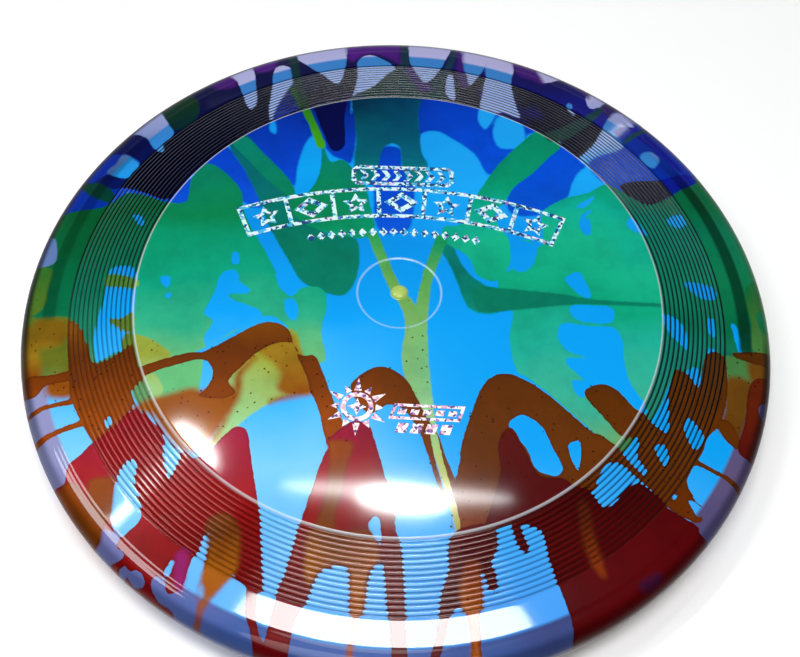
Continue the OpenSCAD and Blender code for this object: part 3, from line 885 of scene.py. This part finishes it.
def specked(g, colour):
    """colour with brown specks at the front, where the lime, brown and amber dyes run together."""
    cells = g.node("ShaderNodeTexVoronoi", feature="F1")
    cells.inputs["Scale"].default_value = 620
    g.feed(cells.inputs["Vector"], g.place())
    pick = g.node("ShaderNodeSeparateColor")
    g.feed(pick.inputs[0], cells.outputs["Color"])
    chosen = g.ramp(pick.outputs[0], 0.66, 0.68, smooth=False)
    dot = g.times(g.ramp(cells.outputs["Distance"], 0.27, 0.12), chosen)
    stained = g.ramp(g.attribute("dye_amber"), -2, 0)
    for dye in ("dye_brown", "dye_lime"):
        stained = g.math("MAXIMUM", g.ramp(g.attribute(dye), -1, 0), stained)
    return g.shaded(colour, g.times(dot, stained, g.ramp(g.along, 0.01, -0.012)), (150, 84, 50))


def with_painted_shade(g, colour):
    """colour with painted shade: darker in the grooves, in a band below the crease at the sides and round
    the widest part.
    """
    # painted shade in the grooves, weaker towards the front
    groove = g.ramp(g.attribute("groove"), 0.08, 0.66)
    left_share = g.ramp(g.along, -0.035, 0.02, 0.35, 0.95)
    right_share = g.ramp(g.along, -0.09, -0.02, 0.4, 1.0)
    colour = g.shaded(colour, g.times(groove, g.mix(g.right_half, left_share, right_share)), (50, 86, 96))
    # painted shade: a dark band below the crease at the left and right
    crease = g.between(g.reach, 105.6, 107.0, 109.8, 111.0)
    side = g.times(g.ramp(g.along, -0.013, -0.01), g.ramp(g.across, -0.02, 0.02, 0.55, 1.0))
    colour = g.shaded(colour, g.times(crease, side, g.ramp(g.along, 0.07, 0.05)), (112, 146, 150))
    # painted shade round the widest part, lighter at the right edge and towards the front
    widest = g.between(g.reach, 113.4, 115.6, 121.0, 126.0)
    right_edge = g.times(g.ramp(g.across, 0.076, 0.1), g.ramp(g.along, -0.022, 0.004))
    widest = g.times(widest, g.ramp(right_edge, 0.0, 1.0, 1.0, 0.2), g.ramp(g.along, -0.08, 0.0, 0.5, 1.0))
    return g.shaded(colour, widest, (80, 84, 98))


def painted_edge_highlights_and_nub(g, colour):
    """colour with painted highlights as pale lines on the plate's edge and the dish's edge, and a
    yellow-green nub.
    """
    # painted highlight: a pale line all round the plate's edge
    plate_edge_highlight = g.between(g.reach, 80.9, 81.3, 81.6, 81.9)
    colour = g.mix(g.times(plate_edge_highlight, 0.45), colour, linear(236, 244, 250))
    # painted highlight: a pale line on the dish's moulded edge
    dish_edge_highlight = g.between(g.reach, 12.5, 12.9, 13.1, 13.5)
    colour = g.mix(g.times(dish_edge_highlight, 0.4), colour, linear(190, 226, 250))
    return g.mix(g.ramp(g.reach, 2.9, 2.5), colour, linear(170, 196, 96))


def plastic():
    """Dyed plastic with a clear gloss, which is duller down the outer wall."""
    g = Skin("dyed_plastic")
    colour = painted_edge_highlights_and_nub(g, with_painted_shade(g, specked(g, dyed(g, bare_plastic(g)))))
    skin = g.node("ShaderNodeBsdfPrincipled")
    g.feed(skin.inputs["Base Color"], colour)
    g.feed(skin.inputs["Coat Weight"], g.ramp(g.reach, 116.0, 112.5, 0.12, 0.8))
    skin.inputs["Roughness"].default_value = 0.3
    skin.inputs["IOR"].default_value = 1.5
    skin.inputs["Specular IOR Level"].default_value = 0.05
    skin.inputs["Coat Roughness"].default_value = 0.06
    return g.finish(skin.outputs[0])


def foil():
    """Holographic glitter foil: small flat flakes, each with its own tint."""
    g = Graph("glitter_foil")
    cells = g.node("ShaderNodeTexVoronoi", feature="F1")
    cells.inputs["Scale"].default_value = 1200
    g.feed(cells.inputs["Vector"], g.place())
    parts = g.node("ShaderNodeSeparateColor")
    g.feed(parts.inputs[0], cells.outputs["Color"])
    one, two, three = parts.outputs
    split = g.node("ShaderNodeSeparateXYZ")
    g.feed(split.inputs[0], g.place())
    warm = g.ramp(split.outputs["Y"], 0.0, -0.02)
    dark = g.mix(warm, linear(0, 60, 120), linear(90, 62, 130))
    mid = g.mix(warm, linear(70, 184, 226), linear(222, 170, 190))
    pale = g.mix(warm, linear(216, 248, 252), linear(252, 238, 238))
    flake = g.mix(g.ramp(one, 0.22, 0.28), dark, mid)
    flake = g.mix(g.ramp(one, 0.44, 0.5), flake, pale)
    tint = g.mix(three, linear(255, 180, 120), linear(180, 120, 255))
    flake = g.mix(g.ramp(two, 0.9, 0.93, 0.0, 0.5), flake, tint)
    metal = g.node("ShaderNodeBsdfPrincipled")
    g.feed(metal.inputs["Base Color"], flake)
    metal.inputs["Metallic"].default_value = 0.2
    metal.inputs["Roughness"].default_value = 0.35
    return g.finish(metal.outputs[0])


# ---------------------------------------------------------------- staging
def floor():
    """A pale, plain surface under the disc."""
    mesh = bpy.data.meshes.new("floor")
    half = 3.0
    corners = [(-half, -half, 0), (half, -half, 0), (half, half, 0), (-half, half, 0)]
    mesh.from_pydata(corners, [], [(0, 1, 2, 3)])
    made = bpy.data.objects.new("floor", mesh)
    bpy.context.scene.collection.objects.link(made)
    g = Graph("pale_floor")
    paint = g.node("ShaderNodeBsdfPrincipled")
    paint.inputs["Base Color"].default_value = (0.985, 0.985, 0.985, 1)
    paint.inputs["Roughness"].default_value = 0.6
    made.data.materials.append(g.finish(paint.outputs[0]))


def stand(place, right, up, back):
    """The matrix of something at a place, with its axes along three directions."""
    return Matrix.Translation(place) @ Matrix((right, up, back)).transposed().to_4x4()


def softbox(name, place, target, size, watts, along=(0, 0, 1)):
    """An oval lamp at a place, facing a target. The second side of its size runs along a direction."""
    lamp = bpy.data.lights.new(name, "AREA")
    lamp.shape = "ELLIPSE"
    lamp.size, lamp.size_y = size
    lamp.energy = watts
    made = bpy.data.objects.new(name, lamp)
    back = (Vector(place) - Vector(target)).normalized()
    side = Vector(along).cross(back).normalized()
    made.matrix_world = stand(place, side, back.cross(side), back)
    bpy.context.scene.collection.objects.link(made)


def lights():
    """Soft studio light, with lamps placed for the glow on the plate and the rim."""
    softbox("key_box", (-0.1, -0.9, 1.5), (0, 0, 0), (1.2, 0.9), 8.2)
    # overhead: the white band on the front shoulder
    softbox("top_box", (0, -0.14, 1.02), (0, -0.1, 0.02), (0.62, 0.15), 6.2)
    # low behind: the lines along the plate's far edge and the far rings
    softbox("back_box", (0, 1.1, 0.55), (0, 0.08, 0.027), (0.9, 0.1), 0.04)
    # the glow across the front of the plate, with its bright middle
    softbox("glow_wide", (0.008, 0.359, 0.931), (0.002, -0.068, 0.027), (0.25, 0.016), 0.28)
    softbox("glow_core", (0.015, 0.352, 0.934), (0.004, -0.07, 0.027), (0.1, 0.03), 0.42)
    # the spark at the plate's left front edge, and the strip that draws it on over the rings
    softbox("spark", (-0.21, 0.391, 0.908), (-0.056, -0.0565, 0.027), (0.028, 0.064), 0.26, (1, -1, 0))
    softbox("spark_strip", (-0.44, 0.16, 0.9), (-0.072, -0.072, 0.024), (0.03, 0.44), 1.1, (1, 1, 0))
    # the bright line along the crease at the left front
    softbox("left_box", (-0.61, -0.03, 0.845), (-0.079, -0.079, 0.02), (0.14, 0.5), 1.7, (0.25, -0.29, 0.14))
    # the white lines over the far right rings
    down_the_rings = (0.43, 0.43, -0.8)
    softbox("right_strip", (0.362, 0.867, 0.524), (0.066, 0.066, 0.024), (0.02, 0.4), 0.12, down_the_rings)
    sky()


def sky():
    """A room that is bright low down, like a studio's curved backdrop, and dim overhead."""
    world = bpy.data.worlds.new("studio")
    world.use_nodes = True
    tree = world.node_tree
    background = tree.nodes["Background"]
    height = tree.nodes.new("ShaderNodeSeparateXYZ")
    ramp = tree.nodes.new("ShaderNodeMapRange")
    tree.links.new(tree.nodes.new("ShaderNodeTexCoord").outputs["Generated"], height.inputs[0])
    tree.links.new(height.outputs["Z"], ramp.inputs["Value"])
    for name, value in (("From Min", 0.02), ("From Max", 0.5), ("To Min", 0.3), ("To Max", 0.03)):
        ramp.inputs[name].default_value = value
    background.inputs["Color"].default_value = (0.95, 0.97, 1.0, 1)
    tree.links.new(ramp.outputs[0], background.inputs["Strength"])
    bpy.context.scene.world = world


def camera():
    """The viewpoint: high over the near edge, with a small tilt to the left."""
    distance = 0.388
    height, turn, nod, tilt = (math.radians(angle) for angle in (55.65, -0.11, -1.65, -2.8))
    place = Vector((0, -distance * math.cos(height), distance * math.sin(height) + DISC_H * MM))
    ahead = Vector((0, math.cos(height), -math.sin(height)))
    right = Vector((1, 0, 0))
    up = right.cross(ahead)
    aim = Matrix.Rotation(turn, 3, up) @ Matrix.Rotation(nod, 3, right)
    ahead, right, up = aim @ ahead, aim @ right, aim @ up
    roll = Matrix.Rotation(tilt, 3, ahead)
    right, up = roll @ right, roll @ up
    lens = bpy.data.cameras.new("camera")
    lens.sensor_width = 36
    lens.lens = 56.5
    lens.clip_start = 0.01
    made = bpy.data.objects.new("camera", lens)
    made.matrix_world = stand(place, right, up, -ahead)
    bpy.context.scene.collection.objects.link(made)
    bpy.context.scene.camera = made


# ---------------------------------------------------------------- assembly
shell = lathe("disc_shell")
shell.data.materials.append(plastic())
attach(shell, "root")
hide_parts("disc_body")

glitter = foil()
for node_name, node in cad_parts.items():
    if node_name.startswith("foil_"):
        for place in node.material_slots:
            place.material = glitter

floor()
lights()
camera()
bpy.context.scene.view_settings.view_transform = "Standard"
